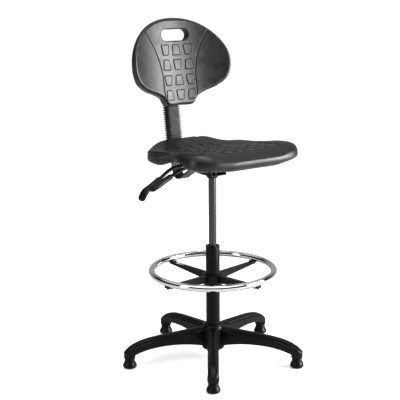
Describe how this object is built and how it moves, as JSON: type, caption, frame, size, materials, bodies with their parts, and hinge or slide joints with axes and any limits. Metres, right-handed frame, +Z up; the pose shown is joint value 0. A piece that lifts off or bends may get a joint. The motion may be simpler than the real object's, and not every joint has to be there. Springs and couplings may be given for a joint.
{
  "type": "drafting chair",
  "caption": "Tall drafting chair with a moulded polyurethane seat and back, twin-lever mechanism, gas lift, sliding foot ring and star base on glides.",
  "frame": {"origin": "on the floor, at the middle of the bounding box's footprint; the column's axis is at x = 0, y = -0.030 m", "axes": "+Z up, the chair faces -Y, the sitter's right hand is at -X"},
  "size_m": [0.6434, 0.6142, 1.2132],
  "materials": {
    "polyurethane": "dark grey integral-skin polyurethane with a soft sheen",
    "black_nylon": "black moulded nylon with a satin surface",
    "black_steel": "black powder coat, semi-gloss",
    "chrome_tube": "polished chrome plate",
    "bright_steel": "zinc-plated steel",
    "rubber": "matt black rubber",
    "plywood": "bare birch plywood"
  },
  "bodies": {
    "base": {"base_star": "black_nylon", "glide_1": "black_nylon", "glide_2": "black_nylon", "glide_3": "black_nylon", "glide_4": "black_nylon", "glide_5": "black_nylon", "glide_stem_1": "bright_steel", "glide_stem_2": "bright_steel", "glide_stem_3": "bright_steel", "glide_stem_4": "bright_steel", "glide_stem_5": "bright_steel", "column_tube": "black_steel", "guide_bush": "black_nylon", "thrust_washer": "bright_steel", "rod_clip": "bright_steel"},
    "foot_ring_carriage": {"ring_spider": "black_nylon", "foot_ring": "chrome_tube", "ring_collet": "black_nylon", "ring_screw_1": "bright_steel", "ring_screw_2": "bright_steel", "ring_screw_3": "bright_steel", "ring_screw_4": "bright_steel"},
    "ring_nut_body": {"ring_nut": "black_nylon"},
    "rod": {"piston_rod": "bright_steel", "piston": "bright_steel"},
    "seat_frame": {"gas_cylinder": "black_steel", "rod_seal": "rubber", "taper_socket": "black_steel", "mechanism_housing": "black_steel", "recline_pin": "bright_steel", "recline_nut": "bright_steel", "clamp_washer_left": "bright_steel", "clamp_washer_right": "bright_steel", "return_spring": "bright_steel", "lift_lever_pin": "bright_steel", "recline_lever_pin": "bright_steel", "seat_plate": "black_steel", "seat_board": "plywood", "seat_pad": "polyurethane", "seat_bolt_1": "bright_steel", "seat_bolt_2": "bright_steel", "seat_bolt_3": "bright_steel", "seat_bolt_4": "bright_steel"},
    "valve": {"valve_button": "bright_steel"},
    "lift_lever_body": {"lift_lever": "black_steel", "lift_lever_grip": "black_nylon"},
    "recline_lever_body": {"recline_lever": "black_steel", "recline_lever_grip": "black_nylon"},
    "back_frame": {"back_upright": "black_steel", "upright_stop": "bright_steel", "bellows": "rubber"},
    "back_rest": {"back_carrier": "black_nylon", "back_insert": "plywood", "back_pad": "polyurethane", "back_bolt_1": "bright_steel", "back_bolt_2": "bright_steel", "back_bolt_3": "bright_steel", "back_bolt_4": "bright_steel"},
    "back_knob_body": {"back_knob": "black_nylon", "back_knob_screw": "bright_steel"}
  },
  "joints": [
    {"name": "foot_ring_height", "type": "slide", "parent": "base", "child": "foot_ring_carriage", "axis": [0, 0, 1], "range_m": [-0.125, 0.03]},
    {"name": "ring_nut_turn", "type": "hinge", "parent": "foot_ring_carriage", "child": "ring_nut_body", "pos_m": [0, -0.02995, 0.268], "axis": [0, 0, 1], "range_deg": [0, 90]},
    {"name": "seat_swivel", "type": "hinge", "parent": "base", "child": "rod", "pos_m": [0, -0.02995, 0.335], "axis": [0, 0, 1], "continuous": true},
    {"name": "seat_lift", "type": "slide", "parent": "rod", "child": "seat_frame", "axis": [0, 0, 1], "range_m": [-0.245, 0]},
    {"name": "lift_lever_pull", "type": "hinge", "parent": "seat_frame", "child": "lift_lever_body", "pos_m": [-0.021, -0.02995, 0.72], "axis": [0, 1, 0], "range_deg": [0, 6], "stiffness_Nm_per_rad": 2, "springref_deg": -11.46},
    {"name": "valve_press", "type": "slide", "parent": "seat_frame", "child": "valve", "axis": [0, 0, 1], "range_m": [-0.0024, 0]},
    {"name": "recline_lever_pull", "type": "hinge", "parent": "seat_frame", "child": "recline_lever_body", "pos_m": [-0.021, 0.01205, 0.72], "axis": [0, 1, 0], "range_deg": [0, 6], "stiffness_Nm_per_rad": 2, "springref_deg": -11.46},
    {"name": "back_recline", "type": "hinge", "parent": "seat_frame", "child": "back_frame", "pos_m": [0, 0.03605, 0.694], "axis": [-1, 0, 0], "range_deg": [-6, 14]},
    {"name": "back_height", "type": "slide", "parent": "back_frame", "child": "back_rest", "axis": [0, 0.134, 0.991], "range_m": [-0.04, 0.018], "deforming": ["bellows"]},
    {"name": "back_knob_turn", "type": "hinge", "parent": "back_rest", "child": "back_knob_body", "pos_m": [0, 0.23369, 0.9636], "axis": [0, 0.991, -0.134], "range_deg": [-360, 0]}
  ],
  "couplings": [
    {"joint": "valve_press", "follows": "lift_lever_pull", "m_per_rad": -0.021}
  ]
}
